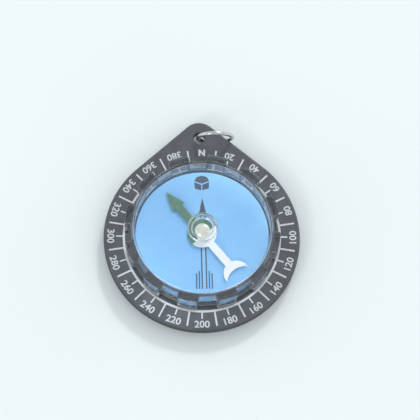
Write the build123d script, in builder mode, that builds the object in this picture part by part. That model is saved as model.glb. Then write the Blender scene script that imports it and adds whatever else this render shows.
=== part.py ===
"""A keyring qibla compass: a flat plate with a tab and a small wire ring, and a clear capsule
that turns in the plate. A magnetised needle swings on a pivot over the capsule's dial card.
Millimetres. The origin is on the compass axis at the resting face, +Z up, +Y towards the tab."""
import os
from math import asin, cos, degrees, radians, sin

from build123d import *

os.makedirs("parts", exist_ok=True)

# Clearances
turning_clearance = 0.1  # capsule in the plate's opening, on the radius
end_play = 0.12  # from each face of the plate to what holds the capsule in it
glue_gap = 0.05  # between a glued spigot and its socket, on the radius
push_fit = 0.01  # between a pushed-in piece and its bore, on the radius
dial_clearance = 0.2  # dial card to the wall, on the radius
pin_clearance = 0.1  # dial card to the pin, on the radius

# Plate: a disc drawn out to a round tab
plate_radius = 24.0
plate_thickness = 2.0
plate_edge_round = 0.5
tab_reach = 26.1  # compass axis to the centre of the tab's round end
tab_radius = 4.3

# Retainer: the ring that holds the capsule from below, and stands on the table
retainer_overlap = 0.9  # how far it reaches out past the journal, under the plate
retainer_height = 2.25
retainer_edge = 0.6

# Capsule base: a tub that turns in the plate and carries the dial and the pin
journal_radius = 17.3  # where it turns in the plate, flush with the cover's wall above
spigot_step = 1.5  # from the journal in to the spigot that the retainer is glued on
base_wall = 1.3
base_floor = 1.2
post_radius = 2.0
dial_lift = 0.8  # how far the tub's rim stands up inside the cover

# Capsule cover: a clear cap with finger grips round its wall
cover_height = 7.7
cover_wall = 0.9
window_thickness = 1.1
slope_width = 0.7  # the rim slopes in from the wall to the window's face
slope_drop = 1.5
slope_round = 0.3
flange_width = 0.75  # how far the flange stands out from the wall
flange_height = 1.4
grip_stand = 1.55  # how far the grips stand out from the wall
grip_root = 0.1  # from the bore to where the grips start inside the wall
grip_count = 12
grip_width = 5.0
grip_corner = 0.5
grip_edge = 0.35
grip_drop = 0.6  # the grips end this much below the window's face
grip_turn = 17.4  # degrees from +X to the first grip
boss_radius = 3.5
boss_depth = 2.0
recess_radius = 2.5
recess_depth = 0.6

# Dial card
dial_thickness = 0.3

# Needle: an arrowhead, a round hub and a crescent tail in one flat strip
needle_heading = 38.1  # degrees from +Y to the arrowhead, seen from above, turning left
needle_thickness = 0.4
needle_lift = 0.35  # dial face to the needle's underside
head_reach = 13.86
head_length = 5.0
head_width = 3.6
shaft_width = 1.9
hub_radius = 3.55
horn_reach = 13.3
horn_spread = 6.4
crescent_outside = 9.9  # compass axis to the crescent's bulging side
crescent_inside = 12.0  # compass axis to the crescent's hollow side

# Bearing: a brass cap on the needle, a jewel inside it and a pointed steel pin
cap_radius = 1.85
cap_rise = 2.2
cap_dome = 0.7
neck_radius = 1.35
neck_tail = 0.1  # how far the neck comes out under the needle
bore_radius = 0.9
cap_crown = 0.7  # brass left above the jewel
jewel_height = 0.9
cone_radius = 0.6
cone_depth = 0.5
pin_radius = 0.5
pin_point = 0.6
pin_tip_radius = 0.05
pin_grip = 2.6  # length of the pin held in the post
tip_gap = 0.03

# Wire ring: it stands through the tab's hole and round the tab's edge
wire_diameter = 1.0
ring_edge_gap = 0.75  # tab's edge to the wire, measured level
ring_floor_gap = 0.4  # resting face to the lowest point of the wire
ring_hole_clearance = 0.4  # round the slanting wire, on the radius
ring_hole_round = 0.3
ring_lean = 8.0  # degrees that the ring leans back towards the capsule
ring_slit = 3.0  # degrees left open where the wire's ends meet
ring_slit_turn = -50.0  # degrees below level, on the outer side

# Heights, from the resting face up
plate_underside = retainer_height + end_play
plate_top = plate_underside + plate_thickness
plate_middle = plate_underside + plate_thickness / 2
cover_seat = plate_top + end_play
cover_top = cover_seat + cover_height
window_underside = cover_top - window_thickness
boss_end = window_underside - boss_depth
grip_top = cover_top - grip_drop
dial_seat = cover_seat + dial_lift
dial_face = dial_seat + dial_thickness
needle_underside = dial_face + needle_lift
needle_top = needle_underside + needle_thickness
cap_top = needle_top + cap_rise
neck_end = needle_underside - neck_tail
jewel_top = cap_top - cap_crown
jewel_underside = jewel_top - jewel_height
pin_tip = jewel_underside + cone_depth - tip_gap
pin_foot = dial_seat - pin_grip

# Radii that follow from the journal and the fits
opening_radius = journal_radius + turning_clearance
spigot_radius = journal_radius - spigot_step
retainer_radius = journal_radius + retainer_overlap
flange_radius = journal_radius + flange_width
grip_radius = journal_radius + grip_stand
cover_bore = journal_radius - cover_wall
lip_radius = cover_bore - glue_gap
dial_radius = cover_bore - dial_clearance

# Slope of the tab's straight sides, which touch both the disc and the round end
side_angle = degrees(asin((plate_radius - tab_radius) / tab_reach))

# The ring's circle: through the hole's centre at one side, clear of the tab's edge at the other
edge_distance = tab_radius / cos(radians(side_angle))
half_chord = (edge_distance + ring_edge_gap + wire_diameter / 2) / 2
drop = (plate_middle - ring_floor_gap - wire_diameter / 2) / cos(radians(ring_lean))
ring_rise = (half_chord**2 - drop**2) / (2 * drop)
ring_radius = ring_rise + drop
wire_slant = asin(ring_rise / ring_radius)
wire_passage = plate_thickness * abs(sin(wire_slant)) + wire_diameter
ring_hole_radius = wire_passage / cos(wire_slant) / 2 + ring_hole_clearance

# Plate
with BuildPart() as base_plate:
    with BuildSketch(Plane.XY.offset(plate_underside)):
        with BuildLine():
            disc_side = CenterArc((0, 0), plate_radius, 180 - side_angle, 180 + 2 * side_angle)
            tab_end = CenterArc((0, tab_reach), tab_radius, side_angle, 180 - 2 * side_angle)
            Line(disc_side @ 1, tab_end @ 0)
            Line(tab_end @ 1, disc_side @ 0)
        make_face()
    extrude(amount=plate_thickness)
    rims = base_plate.faces().filter_by(Plane.XY).edges()
    fillet(rims, radius=plate_edge_round)
    with Locations((0, 0, plate_top)):
        Hole(opening_radius, depth=plate_thickness)
    with Locations((0, tab_reach, plate_top)):
        Hole(ring_hole_radius, depth=plate_thickness)
    fillet(base_plate.edges(Select.LAST).filter_by(GeomType.CIRCLE), radius=ring_hole_round)

# Retainer
with BuildPart() as retaining_ring:
    with BuildSketch():
        Circle(retainer_radius)
        Circle(spigot_radius + glue_gap, mode=Mode.SUBTRACT)
    extrude(amount=retainer_height)
    lower_edges = retaining_ring.faces().sort_by(Axis.Z)[0].edges()
    fillet(lower_edges.sort_by(SortBy.RADIUS)[-1], radius=retainer_edge)

# Capsule base
with BuildPart() as capsule_base:
    with BuildSketch(Plane.XZ):
        with BuildLine():
            Polyline(
                (0, 0),
                (spigot_radius, 0),
                (spigot_radius, retainer_height),
                (journal_radius, retainer_height),
                (journal_radius, cover_seat),
                (lip_radius, cover_seat),
                (lip_radius, dial_seat),
                (spigot_radius - base_wall, dial_seat),
                (spigot_radius - base_wall, base_floor),
                (post_radius, base_floor),
                (post_radius, dial_seat),
                (pin_radius + push_fit, dial_seat),
                (pin_radius + push_fit, pin_foot),
                (0, pin_foot),
                close=True,
            )
        make_face()
    revolve(axis=Axis.Z)

# Dial card
with BuildPart() as dial_card:
    with BuildSketch(Plane.XY.offset(dial_seat)):
        Circle(dial_radius)
        Circle(pin_radius + pin_clearance, mode=Mode.SUBTRACT)
    extrude(amount=dial_thickness)

# Pivot pin
with BuildPart() as pivot_pin:
    with BuildSketch(Plane.XZ):
        with BuildLine():
            Polyline(
                (0, pin_foot),
                (pin_radius, pin_foot),
                (pin_radius, pin_tip - pin_point),
                (pin_tip_radius, pin_tip),
                (0, pin_tip),
                close=True,
            )
        make_face()
    revolve(axis=Axis.Z)

# Needle
needle_plane = Plane.XY.offset(needle_underside).rotated((0, 0, needle_heading))
with BuildPart() as needle_blade:
    with BuildSketch(needle_plane):
        Circle(hub_radius)
        with BuildLine():
            Polyline(
                (0, head_reach),
                (-head_width / 2, head_reach - head_length),
                (head_width / 2, head_reach - head_length),
                close=True,
            )
        make_face()
        shaft_length = head_reach - head_length + crescent_inside
        shaft_middle = (head_reach - head_length - crescent_inside) / 2
        with Locations((0, shaft_middle)):
            Rectangle(shaft_width, shaft_length)
        with BuildLine():
            left_horn = (-horn_spread / 2, -horn_reach)
            right_horn = (horn_spread / 2, -horn_reach)
            ThreePointArc(left_horn, (0, -crescent_outside), right_horn)
            ThreePointArc(right_horn, (0, -crescent_inside), left_horn)
        make_face()
        Circle(neck_radius + push_fit, mode=Mode.SUBTRACT)
    extrude(amount=needle_thickness)

# Bearing cap
with BuildPart() as bearing_cap:
    with BuildSketch(Plane.XZ):
        with BuildLine():
            Polyline(
                (0, cap_top),
                (cap_radius, cap_top),
                (cap_radius, needle_top),
                (neck_radius, needle_top),
                (neck_radius, neck_end),
                (bore_radius, neck_end),
                (bore_radius, jewel_top),
                (0, jewel_top),
                close=True,
            )
        make_face()
    revolve(axis=Axis.Z)
    fillet(bearing_cap.edges().sort_by(Axis.Z)[-1], radius=cap_dome)

# Jewel
with BuildPart() as jewel_bearing:
    with BuildSketch(Plane.XZ):
        with BuildLine():
            Polyline(
                (0, jewel_top),
                (bore_radius - push_fit, jewel_top),
                (bore_radius - push_fit, jewel_underside),
                (cone_radius, jewel_underside),
                (0, jewel_underside + cone_depth),
                close=True,
            )
        make_face()
    revolve(axis=Axis.Z)

# Capsule cover
with BuildPart() as capsule_cover:
    with BuildSketch(Plane.XZ):
        with BuildLine():
            Polyline(
                (0, cover_top),
                (journal_radius - slope_width, cover_top),
                (journal_radius, cover_top - slope_drop),
                (journal_radius, cover_seat + flange_height),
                (flange_radius, cover_seat + flange_height),
                (flange_radius, cover_seat),
                (cover_bore, cover_seat),
                (cover_bore, window_underside),
                (boss_radius, window_underside),
                (boss_radius, boss_end),
                (recess_radius, boss_end),
                (recess_radius, boss_end + recess_depth),
                (0, boss_end + recess_depth),
                close=True,
            )
        make_face()
    revolve(axis=Axis.Z)
    slope_edges = capsule_cover.faces().filter_by(GeomType.CONE).edges()
    fillet(slope_edges.filter_by(GeomType.CIRCLE), radius=slope_round)
    with BuildSketch(Plane.XY.offset(cover_seat)) as grip_faces:
        with PolarLocations(grip_radius, grip_count, start_angle=grip_turn):
            Rectangle(grip_radius, grip_width)
        Circle(grip_radius, mode=Mode.INTERSECT)
        Circle(cover_bore + grip_root, mode=Mode.SUBTRACT)
        fillet(grip_faces.vertices().group_by(SortBy.DISTANCE)[-1], radius=grip_corner)
    extrude(amount=grip_top - cover_seat)
    grip_ends = capsule_cover.faces(Select.LAST).filter_by(Plane.XY).group_by(Axis.Z)[-1]
    outer_edges = grip_ends.edges().sort_by(SortBy.DISTANCE)[grip_count:]
    fillet(outer_edges, radius=grip_edge)

# Wire ring
ring_level = Vector(1, 0, 0)
ring_upright = Vector(0, -sin(radians(ring_lean)), cos(radians(ring_lean)))
ring_axle = ring_level.cross(ring_upright)
hole_centre = Vector(0, tab_reach, plate_middle)
ring_centre = hole_centre + ring_level * half_chord + ring_upright * ring_rise
slit_turn = radians(ring_slit_turn)
slit_side = ring_level * cos(slit_turn) + ring_upright * sin(slit_turn)
wire_plane = Plane(origin=ring_centre, x_dir=slit_side, z_dir=slit_side.cross(ring_axle))
with BuildPart() as key_ring:
    with BuildSketch(wire_plane):
        with Locations((ring_radius, 0)):
            Circle(wire_diameter / 2)
    revolve(axis=Axis(ring_centre, ring_axle), revolution_arc=360 - ring_slit)

base_plate.part.label = "base_plate"
retaining_ring.part.label = "retaining_ring"
capsule_base.part.label = "capsule_base"
capsule_cover.part.label = "capsule_cover"
dial_card.part.label = "dial_card"
pivot_pin.part.label = "pivot_pin"
needle_blade.part.label = "needle_blade"
bearing_cap.part.label = "bearing_cap"
jewel_bearing.part.label = "jewel_bearing"
key_ring.part.label = "key_ring"

export_step(base_plate.part, "parts/base_plate.step")
export_step(retaining_ring.part, "parts/retaining_ring.step")
export_step(capsule_base.part, "parts/capsule_base.step")
export_step(capsule_cover.part, "parts/capsule_cover.step")
export_step(dial_card.part, "parts/dial_card.step")
export_step(pivot_pin.part, "parts/pivot_pin.step")
export_step(needle_blade.part, "parts/needle_blade.step")
export_step(bearing_cap.part, "parts/bearing_cap.step")
export_step(jewel_bearing.part, "parts/jewel_bearing.step")
export_step(key_ring.part, "parts/key_ring.step")
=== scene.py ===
"""The looks of a keyring qibla compass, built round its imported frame.
Sizes are written in millimetres and become metres by MM. +Z is up and +Y points to the tab."""
import math

import bmesh
import bpy
from mathutils import Matrix, Vector


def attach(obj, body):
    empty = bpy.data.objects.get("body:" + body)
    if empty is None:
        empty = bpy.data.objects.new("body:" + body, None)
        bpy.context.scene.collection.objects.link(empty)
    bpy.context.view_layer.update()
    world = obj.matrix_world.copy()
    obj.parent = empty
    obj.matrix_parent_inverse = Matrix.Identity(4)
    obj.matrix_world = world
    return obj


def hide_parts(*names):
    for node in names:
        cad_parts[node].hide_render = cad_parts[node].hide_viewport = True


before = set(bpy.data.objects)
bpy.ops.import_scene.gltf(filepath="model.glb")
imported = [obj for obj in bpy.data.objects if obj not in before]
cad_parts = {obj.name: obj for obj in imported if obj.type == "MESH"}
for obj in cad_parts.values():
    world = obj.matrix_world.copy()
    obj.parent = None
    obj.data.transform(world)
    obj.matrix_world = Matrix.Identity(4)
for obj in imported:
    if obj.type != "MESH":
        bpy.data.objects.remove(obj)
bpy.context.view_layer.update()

MM = 0.001

# Plate
plate_radius = 24.0
plate_underside = 2.37
plate_top = 4.37
plate_edge_round = 0.5
tab_reach = 26.1  # compass axis to the centre of the tab's round end
tab_radius = 4.3
opening_radius = 17.4
opening_edge = 0.12
ring_hole_round = 0.3
ring_hole_clearance = 0.4

# Roundings and gaps that several pieces share
moulded_edge = 0.1
fine_edge = 0.05
contact_step = 0.01  # keeps faces that touch from coinciding
glue_gap = 0.05

# Tub and retaining ring
retainer_radius = 18.2
retainer_height = 2.25
retainer_edge = 0.6
spigot_radius = 15.8
journal_radius = 17.3
tub_floor = 1.2
tub_edge = 0.15
shoulder_gap = 0.02  # under the cover's foot
well_radius = 14.5
post_radius = 2.0
pin_socket_radius = 0.51
pin_socket_floor = 2.69

# Clear cover
cover_seat = 4.49
cover_top = 12.19
cover_bore = 16.4
bore_round = 0.12
window_underside = 11.09
window_edge = 0.12
slope_width = 0.7  # the rim slopes in from the wall to the window's face
slope_drop = 1.5
slope_round = 0.3
flange_radius = 18.05
flange_top = 5.89
grip_count = 12
grip_reach = 18.85
grip_width = 5.0
grip_corner = 0.5
grip_edge = 0.35
grip_top = 11.59
grip_turn = math.radians(17.4)
boss_radius = 3.5
boss_end = 9.09
boss_round = 0.35
boss_root = 0.15
recess_radius = 2.5
recess_depth = 0.6
recess_lip = 0.4
recess_round = 0.15
foot_haze = 0.06
wall_haze = 0.35
rim_haze = 0.4
grip_top_haze = 0.02

# Black sheet of painted shade at the cover's foot
shade_sheet_margin = 0.12
shade_sheet_depth = 0.015
shade_sheet_lining = 0.05
shade_sheet_top = 5.2

# Dial card
dial_radius = 16.2
dial_hole_radius = 0.6
dial_seat = 5.29
dial_face = 5.59

# Needle and its cap
needle_heading = math.radians(38.1)
needle_underside = 5.94
needle_top = 6.34
blade_edge = 0.07
blade_hole_edge = 0.02
head_reach = 13.86
head_length = 5.0
head_width = 3.6
shaft_width = 1.9
hub_radius = 3.55
horn_reach = 13.3
horn_spread = 6.4
crescent_outside = 9.9
crescent_inside = 12.0
neck_radius = 1.35
neck_end = 5.84
cap_radius = 1.85
cap_top = 8.54
cap_bore = 0.9
cap_bore_top = 7.84
crown_radius = 1.2
crown_drop = 0.02
crown_round = 0.2
dome_drop = 0.55
dome_round = 0.35

# Wire ring
wire_radius = 0.5
wire_end_round = 0.15
ring_edge_gap = 0.75  # tab's edge to the wire
ring_floor_gap = 0.4
ring_lean = math.radians(8.0)
ring_slit = math.radians(3.0)
ring_slit_turn = math.radians(-50.0)

# Prints
ink_thickness = 0.02
scale_turn = 1.4  # degrees clockwise from the tab to the scale's north
scale_part = 0.9  # degrees in one of the scale's 400 parts
scale_ring_radius = 19.06
scale_ring_width = 0.55
tick_count = 20
tick_thickness = 0.8 * ink_thickness
tick_overlap = 0.03  # how far a tick runs into the printed ring
long_tick_reach = 22.9
long_tick_width = 0.42
short_tick_reach = 20.9
short_tick_width = 0.36
figure_height = 1.75
dial_print_shift = 0.25

# The slope of the tab's sides, and the wire ring's circle
side_angle = math.asin((plate_radius - tab_radius) / tab_reach)
plate_middle = (plate_underside + plate_top) / 2
half_chord = (tab_radius / math.cos(side_angle) + ring_edge_gap + wire_radius) / 2
ring_drop = (plate_middle - ring_floor_gap - wire_radius) / math.cos(ring_lean)
ring_rise = (half_chord**2 - ring_drop**2) / (2 * ring_drop)
ring_radius = ring_rise + ring_drop
wire_slant = math.asin(ring_rise / ring_radius)
wire_passage = (plate_top - plate_underside) * math.sin(wire_slant) + 2 * wire_radius
ring_hole_radius = wire_passage / math.cos(wire_slant) / 2 + ring_hole_clearance

# Meshes
edge_hold = 0.03  # from a rounding to the loop that keeps the flat beside it flat
axis_radius = 1e-6  # a radius below this is a point on the axis
merge_distance = 1e-8


def make_piece(name, bm, sharp=30.0):
    """A mesh object from a closed shape, smooth but for edges that turn by more than sharp degrees."""
    bmesh.ops.remove_doubles(bm, verts=bm.verts, dist=merge_distance)
    bmesh.ops.dissolve_degenerate(bm, edges=bm.edges, dist=merge_distance)
    bmesh.ops.recalc_face_normals(bm, faces=bm.faces)
    mesh = bpy.data.meshes.new(name)
    bm.to_mesh(mesh)
    bm.free()
    mesh.shade_smooth()
    mesh.set_sharp_from_angle(angle=math.radians(sharp))
    piece = bpy.data.objects.new(name, mesh)
    bpy.context.scene.collection.objects.link(piece)
    return piece


def coat(piece, finish):
    piece.data.materials.clear()
    piece.data.materials.append(finish)


def dress(piece, body, finish, slot, *nodes):
    """Gives a piece its finish, hangs it on its body's empty, and hides the nodes it stands for."""
    coat(piece, finish)
    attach(piece, body)
    if nodes:
        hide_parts(*nodes)


def around(radius, turns):
    """Points of a circle at the given turns, or the one point on the axis."""
    if radius < axis_radius:
        return [(0, 0)]
    return [(radius * math.cos(t), radius * math.sin(t)) for t in turns]


def circle_points(radius, count, centre_y=0.0):
    turns = [math.tau * k / count for k in range(count)]
    return [(radius * math.cos(t), centre_y + radius * math.sin(t)) for t in turns]


def loop_at(bm, points, height):
    return [bm.verts.new((x * MM, y * MM, height * MM)) for x, y in points]


def stitch(bm, lower, upper):
    """Joins two loops by a band of faces. A loop of one point is a pole."""
    count = max(len(lower), len(upper))
    for k in range(count):
        here_low, next_low = lower[k % len(lower)], lower[(k + 1) % len(lower)]
        here_up, next_up = upper[k % len(upper)], upper[(k + 1) % len(upper)]
        corners = list(dict.fromkeys([here_low, next_low, next_up, here_up]))
        if len(corners) > 2:
            bm.faces.new(corners)


def stitch_all(bm, loops):
    for lower, upper in zip(loops, loops[1:]):
        stitch(bm, lower, upper)


def flat_face(bm, *loops):
    """Fills the flat space inside the first loop and outside the others."""
    edges = [bm.edges.get((loop[k - 1], loop[k])) for loop in loops for k in range(len(loop))]
    bmesh.ops.triangle_fill(bm, edges=edges, use_beauty=True)


def rounded_outline(corners, closed=True, steps=6):
    """Points along corners given as (across, up, rounding), with each rounding drawn as an arc.
    A point close to each end of an arc keeps the flats beside it flat when they are shaded smooth."""
    outline = []
    for k, (across, up, rounding) in enumerate(corners):
        here = Vector((across, up))
        if not rounding or (not closed and k in (0, len(corners) - 1)):
            outline.append(here)
            continue
        before = (Vector(corners[k - 1][:2]) - here).normalized()
        after = (Vector(corners[(k + 1) % len(corners)][:2]) - here).normalized()
        half = before.angle(after) / 2
        centre = here + (before + after).normalized() * (rounding / math.sin(half))
        reach = rounding / math.tan(half)
        start = here + before * reach - centre
        end = here + after * reach - centre
        outline.append(here + before * (reach + edge_hold))
        for step in range(steps + 1):
            spoke = start.normalized().slerp(end.normalized(), step / steps)
            outline.append(centre + spoke * rounding)
        outline.append(here + after * (reach + edge_hold))
    return outline


def turned(name, corners, segments=256):
    """A piece turned on a lathe: an outline of (radius, height, rounding) goes once round the Z axis."""
    bm = bmesh.new()
    loops = []
    for radius, height in rounded_outline(corners):
        points = [(0, 0)] if radius < axis_radius else circle_points(radius, segments)
        loops.append(loop_at(bm, points, height))
    stitch_all(bm, loops + loops[:1])
    return make_piece(name, bm)


def edged_wall(bm, outline_at, low, high, edge, steps=5):
    """A wall from low to high with both its edges rounded. outline_at gives its outline for an inset."""
    quarter = [math.pi / 2 * k / steps for k in range(steps + 1)]
    levels = [(edge + edge_hold, low)]
    levels += [(edge * (1 - math.sin(t)), low + edge * (1 - math.cos(t))) for t in quarter]
    levels += [(0, low + edge + edge_hold)]
    levels += [(inset, low + high - height) for inset, height in reversed(levels)]
    loops = [loop_at(bm, outline_at(inset), height) for inset, height in levels]
    stitch_all(bm, loops)
    return loops[0], loops[-1]


# Plate
def plate_outline(inset, disc_steps=220, tab_steps=40):
    """The plate's edge drawn in by inset: the disc, then the tab's round end."""
    disc, tab = plate_radius - inset, tab_radius - inset
    points = []
    for k in range(disc_steps + 1):
        turn = math.pi - side_angle + (math.pi + 2 * side_angle) * k / disc_steps
        points.append((disc * math.cos(turn), disc * math.sin(turn)))
    for k in range(tab_steps + 1):
        turn = side_angle + (math.pi - 2 * side_angle) * k / tab_steps
        points.append((tab * math.cos(turn), tab_reach + tab * math.sin(turn)))
    return points


def plate_piece(opening_steps=240, hole_steps=64):
    bm = bmesh.new()

    def opening_outline(inset):
        return circle_points(opening_radius + inset, opening_steps)

    def hole_outline(inset):
        return circle_points(ring_hole_radius + inset, hole_steps, tab_reach)

    edge = edged_wall(bm, plate_outline, plate_underside, plate_top, plate_edge_round)
    opening = edged_wall(bm, opening_outline, plate_underside, plate_top, opening_edge)
    hole = edged_wall(bm, hole_outline, plate_underside, plate_top, ring_hole_round)
    for level in (0, 1):
        flat_face(bm, edge[level], opening[level], hole[level])
    return make_piece("compass_plate", bm)


# Clear cover
def grip_half(wall, inset, face_steps=5, corner_steps=5, gap_steps=8):
    """Half of one grip and half of the gap after it, as (x, y, is_gap), with the grip's middle on +X."""
    reach = grip_reach - inset
    half = grip_width / 2 - inset
    corner = grip_corner - inset
    corner_x = math.sqrt((reach - corner) ** 2 - (half - corner) ** 2)
    lean = math.atan2(half - corner, corner_x)
    points = []
    for k in range(face_steps + 1):
        turn = lean * k / face_steps
        points.append((reach * math.cos(turn), reach * math.sin(turn), False))
    for k in range(1, corner_steps + 1):
        turn = lean + (math.pi / 2 - lean) * k / corner_steps
        across, along = corner_x + corner * math.cos(turn), half - corner + corner * math.sin(turn)
        points.append((across, along, False))
    start = math.asin(half / wall)
    for k in range(gap_steps + 1):
        turn = start + (math.pi / grip_count - start) * k / gap_steps
        points.append((wall * math.cos(turn), wall * math.sin(turn), True))
    return points


def grip_ring(wall, inset=0.0):
    """Points once round the cover at the grips, as (x, y, is_gap).
    wall is the radius in the gaps, and inset draws the grips in."""
    half = grip_half(wall, inset)
    pitch = [(x, -y, gap) for x, y, gap in reversed(half[1:-1])] + half
    ring = []
    for k in range(grip_count):
        turn = grip_turn + math.tau * k / grip_count
        across, along = math.cos(turn), math.sin(turn)
        ring += [(x * across - y * along, x * along + y * across, gap) for x, y, gap in pitch]
    return ring


def gripped(wall, inset=0.0):
    return [(x, y) for x, y, gap in grip_ring(wall, inset)]


def cover_inside():
    """Loops of the cover's inside, from the recess in its boss out to its foot."""
    turns = [math.atan2(y, x) for x, y in gripped(journal_radius)]
    outline = rounded_outline(
        [
            (0, boss_end + recess_depth, 0),
            (recess_radius, boss_end + recess_depth, recess_round),
            (recess_radius, boss_end, recess_lip),
            (boss_radius, boss_end, boss_round),
            (boss_radius, window_underside, boss_root),
            (cover_bore, window_underside, bore_round),
            (cover_bore, cover_seat, 0),
        ],
        closed=False,
    )
    levels = [(around(radius, turns), height) for radius, height in outline]
    return levels + [(around(cover_bore + edge_hold, turns), cover_seat)]


def cover_flange():
    """Loops of the flange, and of the grips beside it, from the foot up to the wall's root."""
    edge = moulded_edge
    root = 2 * edge
    root_middle = 0.3 * root
    return [
        (gripped(flange_radius - edge - edge_hold, edge + edge_hold), cover_seat),
        (gripped(flange_radius - edge, edge), cover_seat),
        (gripped(flange_radius), cover_seat + edge),
        (gripped(flange_radius), cover_seat + edge + edge_hold),
        (gripped(flange_radius), flange_top - edge - edge_hold),
        (gripped(flange_radius), flange_top - edge),
        (gripped(flange_radius - edge), flange_top),
        (gripped(flange_radius - edge - edge_hold), flange_top),
        (gripped(journal_radius + root + edge_hold), flange_top),
        (gripped(journal_radius + root), flange_top),
        (gripped(journal_radius + root_middle), flange_top + root_middle),
        (gripped(journal_radius), flange_top + root),
        (gripped(journal_radius), flange_top + root + edge_hold),
    ]


def cover_outside(edge_steps=5):
    """Loops of the wall, the grips' tops and the sloping rim, up to the window's middle."""
    outline = rounded_outline(
        [
            (journal_radius, flange_top + 1, 0),
            (journal_radius, cover_top - slope_drop, slope_round),
            (journal_radius - slope_width, cover_top, window_edge),
            (0, cover_top, 0),
        ],
        closed=False,
    )

    def wall_at(height):
        for (radius, base), (next_radius, top) in zip(outline, outline[1:]):
            if base <= height < top:
                return radius + (next_radius - radius) * (height - base) / (top - base)
        return journal_radius

    straight_end = grip_top - grip_edge - edge_hold
    levels = [(gripped(radius), height) for radius, height in outline if height < straight_end]
    for k in range(edge_steps + 1):
        turn = math.pi / 2 * k / edge_steps
        height = grip_top - grip_edge * (1 - math.sin(turn))
        levels.append((gripped(wall_at(height), grip_edge * (1 - math.cos(turn))), height))
    rim = wall_at(grip_top)
    edge_ring = grip_ring(rim, grip_edge)
    held_ring = grip_ring(rim, grip_edge + edge_hold)
    top_ring = [edge[:2] if edge[2] else held[:2] for edge, held in zip(edge_ring, held_ring)]
    top_turns = [math.atan2(y, x) for x, y in top_ring]
    levels += [(top_ring, grip_top), (around(rim, top_turns), grip_top)]
    above = [(radius, height) for radius, height in outline if height > grip_top + edge_hold]
    return levels + [(around(radius, top_turns), height) for radius, height in above]


def cover_piece():
    bm = bmesh.new()
    levels = cover_inside() + cover_flange() + cover_outside()
    stitch_all(bm, [loop_at(bm, points, height) for points, height in levels])
    return make_piece("clear_cover", bm, sharp=40.0)


def foot_film_piece():
    """A black sheet of painted shade under the cover's foot, turned up inside the foot's outer edge.
    It is set a little into the foot, so that no light gets between."""
    bm = bmesh.new()
    lining = shade_sheet_margin + shade_sheet_lining
    outer = gripped(flange_radius - shade_sheet_margin, shade_sheet_margin)
    inner = gripped(flange_radius - lining, lining)
    bore = circle_points(cover_bore + shade_sheet_margin, len(outer))
    base, face = cover_seat - shade_sheet_depth, cover_seat + shade_sheet_depth
    foot = loop_at(bm, outer, base)
    edge = loop_at(bm, outer, shade_sheet_top)
    inside_edge = loop_at(bm, inner, shade_sheet_top)
    inside_foot = loop_at(bm, inner, face)
    bore_top = loop_at(bm, bore, face)
    bore_foot = loop_at(bm, bore, base)
    stitch_all(bm, [foot, edge, inside_edge, inside_foot])
    stitch(bm, bore_top, bore_foot)
    flat_face(bm, inside_foot, bore_top)
    flat_face(bm, foot, bore_foot)
    return make_piece("cover_foot_shade_sheet", bm)


# Needle
def needle_outline(arc_steps=16):
    """The needle's edge, clockwise from its tip, with the tip on +Y."""
    half_shaft = shaft_width / 2
    half_spread = horn_spread / 2
    head_base = head_reach - head_length

    def bow(middle):
        """The radius and the centre of a bow from horn to horn."""
        sag = horn_reach - middle
        radius = (half_spread**2 + sag**2) / (2 * sag)
        return radius, -middle - radius

    side = [(0, head_reach), (head_width / 2, head_base), (half_shaft, head_base)]
    hub_turn = math.acos(half_shaft / hub_radius)
    for k in range(2 * arc_steps + 1):
        turn = hub_turn * (1 - k / arc_steps)
        side.append((hub_radius * math.cos(turn), hub_radius * math.sin(turn)))
    radius, centre = bow(crescent_outside)
    start = math.acos(half_shaft / radius)
    end = math.atan2(-horn_reach - centre, half_spread)
    for k in range(arc_steps + 1):
        turn = start + (end - start) * k / arc_steps
        side.append((radius * math.cos(turn), centre + radius * math.sin(turn)))
    radius, centre = bow(crescent_inside)
    start = math.atan2(-horn_reach - centre, half_spread)
    for k in range(1, arc_steps + 1):
        turn = start + (math.pi / 2 - start) * k / arc_steps
        side.append((radius * math.cos(turn), centre + radius * math.sin(turn)))
    mirrored = [(-x, y) for x, y in reversed(side[1:-1])]
    return side + mirrored


def drawn_in(points, inset):
    """A clockwise outline with every side moved in by inset. A sharp tip is held to three insets."""
    moved = []
    for k, point in enumerate(points):
        here = Vector(point)
        before = (here - Vector(points[k - 1])).normalized()
        after = (Vector(points[(k + 1) % len(points)]) - here).normalized()
        normals = [Vector((d.y, -d.x)) for d in (before, after)]
        middle = (normals[0] + normals[1]).normalized()
        reach = inset / max(middle.dot(normals[0]), 1 / 3)
        moved.append(tuple(here + middle * reach))
    return moved


def needle_piece(hole_steps=48):
    outline = needle_outline()
    across, along = math.cos(needle_heading), math.sin(needle_heading)
    bm = bmesh.new()

    def blade_outline(inset):
        points = drawn_in(outline, inset)
        return [(x * across - y * along, x * along + y * across) for x, y in points]

    def hole_outline(inset):
        return circle_points(neck_radius + contact_step + inset, hole_steps)

    blade = edged_wall(bm, blade_outline, needle_underside, needle_top, blade_edge, steps=3)
    hole = edged_wall(bm, hole_outline, needle_underside, needle_top, blade_hole_edge, steps=2)
    for level in (0, 1):
        flat_face(bm, blade[level], hole[level])
    return make_piece("needle", bm)


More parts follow.
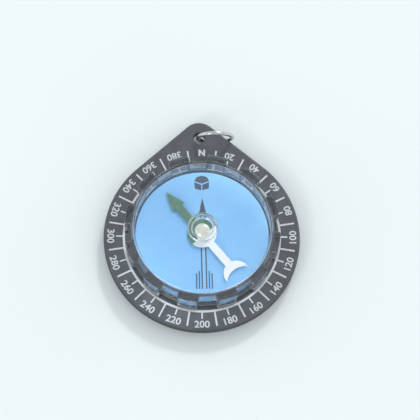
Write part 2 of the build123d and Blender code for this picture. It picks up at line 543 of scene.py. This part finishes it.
# Wire ring
def wire_ring_piece(steps=160, sides=24):
    level = Vector((1, 0, 0))
    upright = Vector((0, -math.sin(ring_lean), math.cos(ring_lean)))
    axle = level.cross(upright)
    centre = Vector((0, tab_reach, plate_middle)) + level * half_chord + upright * ring_rise
    run = math.tau - ring_slit
    lead = wire_end_round / ring_radius
    sections = [
        (0.0, wire_radius - wire_end_round),
        (lead * 0.3, wire_radius - wire_end_round * 0.3),
        (lead, wire_radius),
    ]
    far_end = [(run - at, radius) for at, radius in reversed(sections)]
    sections += [(lead + (run - 2 * lead) * k / steps, wire_radius) for k in range(1, steps)]
    bm = bmesh.new()
    loops = []
    for at, radius in sections + far_end:
        spoke = level * math.cos(ring_slit_turn + at) + upright * math.sin(ring_slit_turn + at)
        loop = []
        for k in range(sides):
            turn = math.tau * k / sides
            outward, aside = radius * math.cos(turn), radius * math.sin(turn)
            loop.append(bm.verts.new((centre + spoke * (ring_radius + outward) + axle * aside) * MM))
        loops.append(loop)
    stitch_all(bm, loops)
    bm.faces.new(loops[0])
    bm.faces.new(loops[-1])
    return make_piece("wire_ring", bm)


# Prints
def ink_piece(name, shapes, base):
    """Thin printed shapes lying on a face at height base. Each shape is a closed run of points."""
    bm = bmesh.new()
    for points in shapes:
        lower = loop_at(bm, points, base)
        upper = loop_at(bm, points, base + ink_thickness)
        stitch(bm, lower, upper)
        bm.faces.new(lower)
        bm.faces.new(upper)
    return make_piece(name, bm)


def tick_tree():
    """A tree that sets ink bars round a circle, evenly, each pointing at the centre."""
    tree = bpy.data.node_groups.new("scale_ticks", "GeometryNodeTree")
    tree.is_modifier = True
    tree.interface.new_socket("Geometry", in_out="OUTPUT", socket_type="NodeSocketGeometry")
    for label, kind in (
        ("Geometry", "NodeSocketGeometry"),
        ("Count", "NodeSocketInt"),
        ("First turn", "NodeSocketFloat"),
        ("Inner radius", "NodeSocketFloat"),
        ("Outer radius", "NodeSocketFloat"),
        ("Width", "NodeSocketFloat"),
        ("Thickness", "NodeSocketFloat"),
        ("Height", "NodeSocketFloat"),
        ("Left out", "NodeSocketInt"),
        ("Ink", "NodeSocketMaterial"),
    ):
        tree.interface.new_socket(label, in_out="INPUT", socket_type=kind)
    given = tree.nodes.new("NodeGroupInput").outputs

    def math_node(operation, first, second):
        made = tree.nodes.new("ShaderNodeMath")
        made.operation = operation
        for socket, value in zip(made.inputs, (first, second)):
            if isinstance(value, (int, float)):
                socket.default_value = value
            else:
                tree.links.new(value, socket)
        return made.outputs[0]

    def combine(x, y, z):
        made = tree.nodes.new("ShaderNodeCombineXYZ")
        for socket, value in zip(made.inputs, (x, y, z)):
            if value is not None:
                tree.links.new(value, socket)
        return made.outputs[0]

    length = math_node("SUBTRACT", given["Outer radius"], given["Inner radius"])
    reaches = math_node("ADD", given["Outer radius"], given["Inner radius"])
    middle = math_node("MULTIPLY", reaches, 0.5)
    lift = math_node("ADD", given["Height"], math_node("MULTIPLY", given["Thickness"], 0.5))
    bar = tree.nodes.new("GeometryNodeMeshCube")
    tree.links.new(combine(given["Width"], length, given["Thickness"]), bar.inputs["Size"])
    placed = tree.nodes.new("GeometryNodeTransform")
    tree.links.new(bar.outputs["Mesh"], placed.inputs["Geometry"])
    tree.links.new(combine(None, middle, lift), placed.inputs["Translation"])
    spots = tree.nodes.new("GeometryNodePoints")
    tree.links.new(given["Count"], spots.inputs["Count"])
    index = tree.nodes.new("GeometryNodeInputIndex").outputs[0]
    step = math_node("DIVIDE", -math.tau, given["Count"])
    turn = math_node("ADD", given["First turn"], math_node("MULTIPLY", index, step))
    kept = tree.nodes.new("FunctionNodeCompare")
    kept.data_type = "INT"
    kept.operation = "NOT_EQUAL"
    whole = [socket for socket in kept.inputs if socket.type == "INT"]
    tree.links.new(index, whole[0])
    tree.links.new(given["Left out"], whole[1])
    copies = tree.nodes.new("GeometryNodeInstanceOnPoints")
    tree.links.new(spots.outputs[0], copies.inputs["Points"])
    tree.links.new(kept.outputs[0], copies.inputs["Selection"])
    tree.links.new(placed.outputs[0], copies.inputs["Instance"])
    tree.links.new(combine(None, None, turn), copies.inputs["Rotation"])
    real = tree.nodes.new("GeometryNodeRealizeInstances")
    tree.links.new(copies.outputs[0], real.inputs[0])
    inked = tree.nodes.new("GeometryNodeSetMaterial")
    tree.links.new(real.outputs[0], inked.inputs["Geometry"])
    tree.links.new(given["Ink"], inked.inputs["Material"])
    tree.links.new(inked.outputs[0], tree.nodes.new("NodeGroupOutput").inputs[0])
    return tree


def scale_angle(value):
    """The turn, clockwise from the tab, of a value on the scale."""
    return math.radians(value * scale_part + scale_turn)


def tick_piece(name, tree, ink, reach, width, first_value, left_out=-1):
    """Bars of the scale, evenly round, from the printed ring out to reach.
    left_out counts from the first bar, and -1 leaves none out."""
    sizes = {
        "Count": tick_count,
        "First turn": -scale_angle(first_value),
        "Inner radius": (scale_ring_radius + scale_ring_width / 2 - tick_overlap) * MM,
        "Outer radius": reach * MM,
        "Width": width * MM,
        "Thickness": tick_thickness * MM,
        "Height": plate_top * MM,
        "Left out": left_out,
        "Ink": ink,
    }
    maker = bpy.data.objects.new(name + "_maker", bpy.data.meshes.new(name + "_maker"))
    bpy.context.scene.collection.objects.link(maker)
    modifier = maker.modifiers.new("ticks", "NODES")
    modifier.node_group = tree
    for socket in tree.interface.items_tree:
        if socket.in_out == "INPUT" and socket.name in sizes:
            modifier[socket.identifier] = sizes[socket.name]
    seen = maker.evaluated_get(bpy.context.evaluated_depsgraph_get())
    mesh = bpy.data.meshes.new_from_object(seen)
    bpy.data.objects.remove(maker)
    piece = bpy.data.objects.new(name, mesh)
    bpy.context.scene.collection.objects.link(piece)
    return piece


def figure_mesh(words, width_share, weight):
    """Flat figures as high as the scale's, centred across and standing on y = 0."""
    text = bpy.data.curves.new("figures", "FONT")
    text.body = words
    text.align_x = "CENTER"
    text.offset = weight
    text.extrude = 0.5  # one unit thick in all
    text.resolution_u = 6
    holder = bpy.data.objects.new("figures", text)
    bpy.context.scene.collection.objects.link(holder)
    seen = holder.evaluated_get(bpy.context.evaluated_depsgraph_get())
    mesh = bpy.data.meshes.new_from_object(seen)
    bpy.data.objects.remove(holder)
    heights = [v.co.y for v in mesh.vertices]
    across = [v.co.x for v in mesh.vertices]
    size = figure_height / (max(heights) - min(heights))
    middle = (max(across) + min(across)) / 2
    shift = Matrix.Translation((-middle, -min(heights), 0))
    mesh.transform(Matrix.Diagonal((size * width_share, size, ink_thickness, 1)) @ shift)
    return mesh


def figure_piece(name, figures, foot_radius, width_share, weight):
    """Figures set round the plate with their heads to the centre."""
    bm = bmesh.new()
    lift = Matrix.Translation((0, 0, plate_top + ink_thickness / 2))
    outward = Matrix.Translation((0, -foot_radius, 0))
    for value, words in figures:
        mesh = figure_mesh(words, width_share, weight)
        turn = Matrix.Rotation(math.pi - scale_angle(value), 4, "Z")
        place = lift @ turn @ outward
        mesh.transform(Matrix.Scale(MM, 4) @ place)
        bm.from_mesh(mesh)
        bpy.data.meshes.remove(mesh)
    return make_piece(name, bm)


def on_dial(shapes, up=0.0):
    """The dial's print lies a little to one side of the compass axis."""
    return [[(dial_print_shift + x, up + y) for x, y in points] for points in shapes]


def dial_arrow_shapes():
    """An arrowhead, the two lines of its shaft, and two shorter lines on each side of its foot."""
    tip, head_low, head_half = 9.6, 5.0, 0.95
    foot, half_line = -13.9, 0.15
    shapes = [[(-head_half, head_low), (head_half, head_low), (0, tip)]]
    for side in (-1, 1):
        for offset, top in ((0.535, head_low), (1.2, -9.4), (1.87, -10.0)):
            left, right = side * offset - half_line, side * offset + half_line
            shapes.append([(left, foot), (right, foot), (right, top), (left, top)])
    return on_dial(shapes)


def cube_shapes(centre_y=13.4):
    """A cube seen from above one corner: a six-sided lid and two walls, apart by thin gaps."""
    lid = [(-1.8, 0.52), (-1.28, 1.59), (0.03, 1.96), (1.31, 1.59), (1.83, 0.52), (0.03, -0.18)]
    left_wall = [(-1.82, 0.2), (-0.12, -0.46), (-0.12, -1.9), (-1.7, -1.45)]
    right_wall = [(-x, y) for x, y in reversed(left_wall)]
    return on_dial((lid, left_wall, right_wall), centre_y)


# Finishes
def start_finish(name):
    """A new material, its node tree, its main shader and a place on the piece in millimetres."""
    finish = bpy.data.materials.new(name)
    finish.use_nodes = True
    tree = finish.node_tree
    place = add_node(tree, "ShaderNodeTexCoord").outputs["Object"]
    scaled = add_node(tree, "ShaderNodeVectorMath", {0: place, "Scale": 1 / MM}, operation="SCALE")
    return finish, tree, tree.nodes["Principled BSDF"], scaled.outputs[0]


def add_node(tree, kind, inputs=None, **settings):
    made = tree.nodes.new(kind)
    for key, value in settings.items():
        setattr(made, key, value)
    for key, value in (inputs or {}).items():
        if isinstance(value, bpy.types.NodeSocket):
            tree.links.new(value, made.inputs[key])
        else:
            made.inputs[key].default_value = value
    return made


def height_of(tree, place):
    return add_node(tree, "ShaderNodeSeparateXYZ", {0: place}).outputs["Z"]


def axis_distance(tree, place):
    level = {0: place, 1: (1.0, 1.0, 0.0)}
    flat = add_node(tree, "ShaderNodeVectorMath", level, operation="MULTIPLY").outputs[0]
    return add_node(tree, "ShaderNodeVectorMath", {0: flat}, operation="LENGTH").outputs["Value"]


def noise(tree, place, scale, detail=3.0, roughness=0.5):
    inputs = {"Vector": place, "Scale": scale, "Detail": detail, "Roughness": roughness}
    return add_node(tree, "ShaderNodeTexNoise", inputs).outputs[0]


def spread(tree, value, low, high, from_low=0.3, from_high=0.7):
    """Maps a value from one range to another. The usual range is that of a noise."""
    inputs = {"Value": value, "From Min": from_low, "From Max": from_high, "To Min": low, "To Max": high}
    return add_node(tree, "ShaderNodeMapRange", inputs).outputs["Result"]


def two_tones(tree, factor, first, second):
    """Goes from the first colour to the second. Sockets 6 and 7 of a mix node are its colours."""
    made = add_node(tree, "ShaderNodeMix", {0: factor}, data_type="RGBA")
    for socket, colour in ((made.inputs[6], first), (made.inputs[7], second)):
        if isinstance(colour, bpy.types.NodeSocket):
            tree.links.new(colour, socket)
        else:
            socket.default_value = (*colour, 1.0)
    return made.outputs[2]


def cloudy(tree, cloud, first, second):
    """A tone that goes from first to second with a noise."""
    return two_tones(tree, spread(tree, cloud, 0.0, 1.0), first, second)


def colour_and_gloss(tree, shader, colour, roughness):
    tree.links.new(colour, shader.inputs["Base Color"])
    tree.links.new(roughness, shader.inputs["Roughness"])


def roughen(tree, shader, height, depth, strength=1.0):
    """A bump of the given depth in millimetres."""
    inputs = {"Height": height, "Strength": strength, "Distance": depth * MM}
    bump = add_node(tree, "ShaderNodeBump", inputs)
    tree.links.new(bump.outputs["Normal"], shader.inputs["Normal"])


def let_light_in(shader, colour, ior):
    shader.inputs["Base Color"].default_value = (*colour, 1.0)
    shader.inputs["Transmission Weight"].default_value = 1.0
    shader.inputs["IOR"].default_value = ior


def moulded_plastic():
    """Black moulded plastic with a fine grain, a cloudy tone and an uneven gloss.
    It is painted darker below the plate's top face: painted shade on its sides and underside."""
    finish, tree, shader, place = start_finish("black_plastic")
    cloud = noise(tree, place, 0.35, 5.0, 0.6)
    tone = cloudy(tree, cloud, (0.075, 0.083, 0.094), (0.105, 0.115, 0.13))
    # Painted shade: the plate's sides and underside are painted darker than its top face.
    painted_shade_end, face_start = plate_top - 0.3, plate_top - 0.05
    above_painted_shade = spread(tree, height_of(tree, place), 0.0, 1.0, painted_shade_end, face_start)
    colour = two_tones(tree, above_painted_shade, (0.02, 0.022, 0.025), tone)
    colour_and_gloss(tree, shader, colour, spread(tree, noise(tree, place, 1.1, 4.0), 0.38, 0.55))
    roughen(tree, shader, noise(tree, place, 7.0), 0.02)
    return finish


def printing_ink(name, thin, full):
    """Printing ink with a slightly uneven film."""
    finish, tree, shader, place = start_finish(name)
    film = noise(tree, place, 3.5, 4.0, 0.65)
    colour_and_gloss(tree, shader, cloudy(tree, film, thin, full), spread(tree, film, 0.42, 0.58))
    roughen(tree, shader, noise(tree, place, 12.0), 0.01)
    return finish


def clear_plastic():
    """Clear plastic, polished inside and on the window, and hazier up the outer wall and on the rim.
    Light from the lamps passes through it to what is underneath."""
    finish, tree, shader, place = start_finish("clear_plastic")
    let_light_in(shader, (0.975, 0.985, 1.0), 1.5)
    radius = axis_distance(tree, place)
    height = height_of(tree, place)
    wall_end, slope_start = cover_top - slope_drop - 0.2, cover_top - slope_drop + 0.1
    slope_end, grip_start = journal_radius - 0.05, journal_radius + 0.1
    bore_end, outside_start = cover_bore + 0.05, cover_bore + 0.2
    polish = spread(tree, noise(tree, place, 0.6, 5.0, 0.6), 0.01, 0.05)
    top = spread(tree, radius, rim_haze, grip_top_haze, slope_end, grip_start)
    wall = spread(tree, height, foot_haze, wall_haze, flange_top, wall_end)
    haze = spread(tree, height, wall, top, wall_end, slope_start)
    outside = spread(tree, radius, 0.0, 1.0, bore_end, outside_start)
    hazy = add_node(tree, "ShaderNodeMath", {0: outside, 1: haze, 2: polish}, operation="MULTIPLY_ADD")
    tree.links.new(hazy.outputs[0], shader.inputs["Roughness"])
    roughen(tree, shader, noise(tree, place, 0.25, 1.0), 0.02, 0.6)
    let_through = add_node(tree, "ShaderNodeBsdfTransparent", {"Color": (0.93, 0.96, 1.0, 1.0)})
    shadow_ray = add_node(tree, "ShaderNodeLightPath").outputs["Is Shadow Ray"]
    surfaces = {0: shadow_ray, 1: shader.outputs[0], 2: let_through.outputs[0]}
    mixed = add_node(tree, "ShaderNodeMixShader", surfaces)
    tree.links.new(mixed.outputs[0], tree.nodes["Material Output"].inputs["Surface"])
    return finish


def dial_card_finish():
    """Light blue printed card with faint fibres."""
    finish, tree, shader, place = start_finish("dial_blue")
    cloud = noise(tree, place, 0.12, 3.0)
    fibre = noise(tree, place, 9.0, 4.0, 0.7)
    tone = cloudy(tree, cloud, (0.234, 0.555, 0.94), (0.277, 0.62, 0.98))
    specks = two_tones(tree, spread(tree, fibre, 0.0, 0.12, 0.45, 0.8), tone, (0.20, 0.48, 0.88))
    colour_and_gloss(tree, shader, specks, spread(tree, fibre, 0.5, 0.65))
    roughen(tree, shader, fibre, 0.008)
    return finish


def needle_paint():
    """Thin paint on steel strip: green to the north, white to the south."""
    finish, tree, shader, place = start_finish("needle_paint")
    heading = {"Vector": place, "Angle": -needle_heading}
    along = add_node(tree, "ShaderNodeVectorRotate", heading, rotation_type="Z_AXIS").outputs[0]
    north = add_node(tree, "ShaderNodeSeparateXYZ", {0: along}).outputs["Y"]
    film = noise(tree, place, 1.3, 4.0, 0.6)
    unevenness = spread(tree, film, -0.06, 0.06)
    wavy = add_node(tree, "ShaderNodeMath", {0: north, 1: unevenness}, operation="ADD").outputs[0]
    white_end, green_start = -0.66, -0.60
    side = spread(tree, wavy, 0.0, 1.0, white_end, green_start)
    green = cloudy(tree, film, (0.075, 0.197, 0.128), (0.112, 0.257, 0.172))
    white = cloudy(tree, film, (0.93, 0.97, 0.96), (0.97, 1.0, 0.99))
    colour_and_gloss(tree, shader, two_tones(tree, side, white, green), spread(tree, film, 0.28, 0.42))
    roughen(tree, shader, noise(tree, place, 5.0), 0.01)
    return finish


def metal(name, dark, light, rough_low, rough_high, turned_lines):
    """Bare metal with an uneven polish, and the fine lines that turning leaves where it was turned."""
    finish, tree, shader, place = start_finish(name)
    shader.inputs["Metallic"].default_value = 1.0
    cloud = noise(tree, place, 1.6, 4.0, 0.6)
    tone = cloudy(tree, cloud, dark, light)
    colour_and_gloss(tree, shader, tone, spread(tree, cloud, rough_low, rough_high))
    if turned_lines:
        radius = add_node(tree, "ShaderNodeCombineXYZ", {0: axis_distance(tree, place)}).outputs[0]
        roughen(tree, shader, noise(tree, radius, 14.0, 2.0), 0.02)
    else:
        roughen(tree, shader, noise(tree, place, 8.0), 0.01)
    return finish


def jewel_finish():
    finish, tree, shader, place = start_finish("jewel_glass")
    let_light_in(shader, (0.9, 0.93, 0.97), 1.55)
    tree.links.new(spread(tree, noise(tree, place, 6.0), 0.05, 0.2), shader.inputs["Roughness"])
    return finish


def floor_finish():
    finish, tree, shader, place = start_finish("pale_floor")
    cloud = noise(tree, place, 0.01, 3.0)
    tone = cloudy(tree, cloud, (0.90, 0.965, 0.965), (0.92, 0.985, 0.985))
    tree.links.new(tone, shader.inputs["Base Color"])
    shader.inputs["Roughness"].default_value = 0.8
    shader.inputs["Specular IOR Level"].default_value = 0.1
    return finish


black_plastic = moulded_plastic()
scale_ink = printing_ink("scale_ink", (0.55, 0.58, 0.59), (0.72, 0.76, 0.77))
dial_ink = printing_ink("dial_ink", (0.055, 0.10, 0.15), (0.04, 0.075, 0.115))
cap_brass = metal("cap_brass", (0.89, 0.87, 0.73), (0.95, 0.93, 0.81), 0.26, 0.36, True)
ring_steel = metal("ring_steel", (0.52, 0.52, 0.52), (0.66, 0.66, 0.66), 0.16, 0.3, False)
pin_steel = metal("pin_steel", (0.5, 0.5, 0.52), (0.66, 0.66, 0.68), 0.25, 0.4, True)

# Pieces on the plate
dress(plate_piece(), "plate", black_plastic, "black_plastic", "base_plate")
ring_inside = scale_ring_radius - scale_ring_width / 2
ring_outside = scale_ring_radius + scale_ring_width / 2
scale_ring = turned(
    "scale_ring",
    [
        (ring_inside, plate_top, 0),
        (ring_outside, plate_top, 0),
        (ring_outside, plate_top + ink_thickness, 0),
        (ring_inside, plate_top + ink_thickness, 0),
    ],
)
ticks = tick_tree()
long_ticks = tick_piece(
    "scale_long_ticks", ticks, scale_ink, long_tick_reach, long_tick_width, first_value=10
)
short_ticks = tick_piece(
    "scale_short_ticks", ticks, scale_ink, short_tick_reach, short_tick_width, first_value=0, left_out=0
)
scale_values = [(value, str(value)) for value in range(20, 400, 20)]
numbers = figure_piece("scale_numbers", scale_values, foot_radius=23.1, width_share=1.05, weight=0.02)
north = figure_piece("scale_north", [(0, "N")], foot_radius=23.0, width_share=1.0, weight=0.05)
for print_piece in (scale_ring, long_ticks, short_ticks, numbers, north):
    dress(print_piece, "plate", scale_ink, "scale_ink")

# Pieces on the capsule
retainer_bore = spigot_radius + glue_gap
retainer = turned(
    "retaining_collar",
    [
        (retainer_bore, 0, moulded_edge),
        (retainer_radius, 0, retainer_edge),
        (retainer_radius, retainer_height, moulded_edge),
        (retainer_bore, retainer_height, 0),
    ],
)
dress(retainer, "capsule", black_plastic, "black_plastic", "retaining_ring")
journal_foot = retainer_height - contact_step
shoulder = cover_seat - shoulder_gap
lip_radius = cover_bore - glue_gap
lip_top = dial_seat - contact_step
tub = turned(
    "capsule_tub",
    [
        (0, 0, 0),
        (spigot_radius, 0, tub_edge),
        (spigot_radius, journal_foot, 0),
        (journal_radius, journal_foot, moulded_edge),
        (journal_radius, shoulder, moulded_edge),
        (lip_radius, shoulder, 0),
        (lip_radius, lip_top, fine_edge),
        (well_radius, lip_top, fine_edge),
        (well_radius, tub_floor, 0),
        (post_radius, tub_floor, 0),
        (post_radius, lip_top, 0),
        (pin_socket_radius, lip_top, 0),
        (pin_socket_radius, pin_socket_floor, 0),
        (0, pin_socket_floor, 0),
    ],
)
dress(tub, "capsule", black_plastic, "black_plastic", "capsule_base")
dial = turned(
    "dial_disc",
    [
        (dial_hole_radius, dial_seat, 0),
        (dial_radius, dial_seat, 0),
        (dial_radius, dial_face, fine_edge),
        (dial_hole_radius, dial_face, 0),
    ],
)
dress(dial, "capsule", dial_card_finish(), "dial_print", "dial_card")
dress(ink_piece("dial_arrow", dial_arrow_shapes(), dial_face), "capsule", dial_ink, "dial_ink")
dress(ink_piece("dial_cube", cube_shapes(), dial_face), "capsule", dial_ink, "dial_ink")
dress(cover_piece(), "capsule", clear_plastic(), "clear_plastic", "capsule_cover")
# The sheet at the cover's foot is painted shade: it is black where the foot is only in shade.
dress(foot_film_piece(), "capsule", black_plastic, "black_plastic")
coat(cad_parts["pivot_pin"], pin_steel)

# Pieces on the needle
dress(needle_piece(), "needle", needle_paint(), "needle_paint", "needle_blade")
cap = turned(
    "needle_cap",
    [
        (0, cap_top, 0),
        (crown_radius, cap_top - crown_drop, crown_round),
        (cap_radius, cap_top - dome_drop, dome_round),
        (cap_radius, needle_top, fine_edge),
        (neck_radius, needle_top, 0),
        (neck_radius, neck_end, fine_edge),
        (cap_bore, neck_end, fine_edge),
        (cap_bore, cap_bore_top, 0),
        (0, cap_bore_top, 0),
    ],
    segments=96,
)
dress(cap, "needle", cap_brass, "cap_brass", "bearing_cap")
coat(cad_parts["jewel_bearing"], jewel_finish())

# Wire ring
dress(wire_ring_piece(), "ring", ring_steel, "ring_steel", "key_ring")

# Floor
floor_half = 3.0
floor_drop = -0.02 * MM
floor_corners = [(-1, -1), (1, -1), (1, 1), (-1, 1)]
floor_points = [(floor_half * x, floor_half * y, floor_drop) for x, y in floor_corners]
floor_mesh = bpy.data.meshes.new("floor")
floor_mesh.from_pydata(floor_points, [], [(0, 1, 2, 3)])
floor_mesh.materials.append(floor_finish())
floor = bpy.data.objects.new("floor", floor_mesh)
bpy.context.scene.collection.objects.link(floor)

# Light
scene = bpy.context.scene
scene.view_settings.view_transform = "Standard"
horizon_strength = 1.22
zenith_strength = 0.57
world = bpy.data.worlds.new("studio")
scene.world = world
world.use_nodes = True
sky = world.node_tree
surround = sky.nodes["Background"]
surround.inputs["Color"].default_value = (0.95, 0.98, 1.0, 1.0)
upward = height_of(sky, add_node(sky, "ShaderNodeTexCoord").outputs["Generated"])
strength = spread(sky, upward, horizon_strength, zenith_strength, 0.0, 1.0)
sky.links.new(strength, surround.inputs["Strength"])


def softbox(name, place, power, colour, width=0.24, height=0.18):
    """A lamp that faces the compass."""
    lamp = bpy.data.lights.new(name, "AREA")
    lamp.shape = "RECTANGLE"
    lamp.size = width
    lamp.size_y = height
    lamp.energy = power
    lamp.color = colour
    holder = bpy.data.objects.new(name, lamp)
    holder.location = place
    holder.rotation_euler = (-Vector(place)).to_track_quat("-Z", "Y").to_euler()
    scene.collection.objects.link(holder)


softbox("key_light", (0.44, 1.04, 1.0), 5.0, (1.0, 0.98, 0.95))
softbox("fill_light", (-0.7, -0.9, 0.76), 2.0, (0.95, 0.98, 1.0))

# Camera
camera_place = Vector((-11.981, -125.945, 361.43)) * MM
camera_right = Vector((0.99918, -0.02823, 0.02908))
camera_up = Vector((0.01632, 0.93691, 0.34919))
camera_back = Vector((-0.03710, -0.34843, 0.93660))
camera_turn = Matrix((camera_right, camera_up, camera_back)).transposed().to_4x4()
lens = bpy.data.cameras.new("camera")
lens.lens = 132.93
lens.sensor_width = 36.0
lens.clip_start = 0.01
camera = bpy.data.objects.new("camera", lens)
camera.matrix_world = Matrix.Translation(camera_place) @ camera_turn
scene.collection.objects.link(camera)
scene.camera = camera
